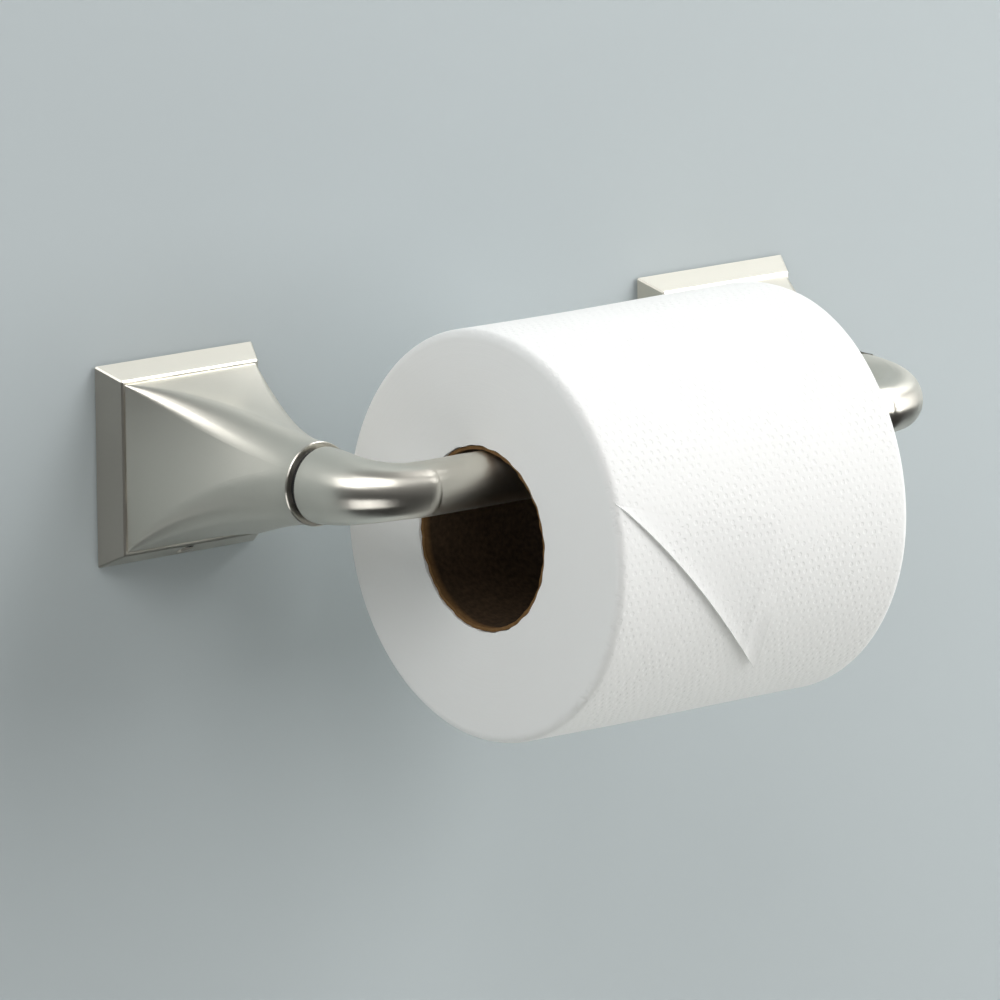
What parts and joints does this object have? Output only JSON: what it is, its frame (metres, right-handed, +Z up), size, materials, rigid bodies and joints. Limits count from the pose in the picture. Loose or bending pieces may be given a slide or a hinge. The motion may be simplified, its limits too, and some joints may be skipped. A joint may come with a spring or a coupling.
{
  "type": "toilet paper holder",
  "caption": "Wall-mounted toilet paper holder: two square-based flared posts carry a swinging U-shaped arm that holds a roll of paper.",
  "frame": {"origin": "on the wall plane, midway between the two posts, at the height of the posts' axes", "axes": "+X along the wall towards the right post, +Y into the wall, +Z up"},
  "size_m": [0.2602, 0.1459, 0.1145],
  "materials": {
    "post_nickel": "satin nickel over cast zinc, brushed around the post",
    "arm_nickel": "satin nickel over cast zinc, brushed around the arm",
    "bracket_zinc": "cast zinc alloy, as cast",
    "screw_steel": "black oxide steel",
    "bushing_bronze": "sintered bronze",
    "seam_nylon": "black nylon",
    "spring_steel": "spring steel",
    "washer_steel": "zinc plated steel",
    "insert_brass": "turned brass",
    "pin_steel": "ground steel",
    "tissue_paper": "white embossed tissue, loosely wound",
    "core_board": "spiral wound brown board",
    "tissue_sheet": "white embossed tissue"
  },
  "bodies": {
    "posts": {"left_post": "post_nickel", "right_post": "post_nickel", "left_wall_bracket": "bracket_zinc", "right_wall_bracket": "bracket_zinc", "left_set_screw": "screw_steel", "right_set_screw": "screw_steel", "pivot_bushing": "bushing_bronze", "seam_washer": "seam_nylon", "spring_washer": "spring_steel", "cradle_liner": "seam_nylon"},
    "arm": {"arm": "arm_nickel", "pivot_screw": "screw_steel", "thrust_washer": "washer_steel", "thread_insert": "insert_brass", "stop_pin": "pin_steel", "rest_stub": "arm_nickel"},
    "roll": {"paper_roll": "tissue_paper", "cardboard_core": "core_board", "loose_sheet": "tissue_sheet"}
  },
  "joints": [
    {"name": "arm_swing", "type": "hinge", "parent": "posts", "child": "arm", "pos_m": [-0.1016, -0.0624, 0], "axis": [0, -1, 0], "range_deg": [0, 100]},
    {"name": "roll_spin", "type": "hinge", "parent": "arm", "child": "roll", "pos_m": [-0.01025, -0.088, -0.01695], "axis": [1, 0, 0], "continuous": true}
  ]
}
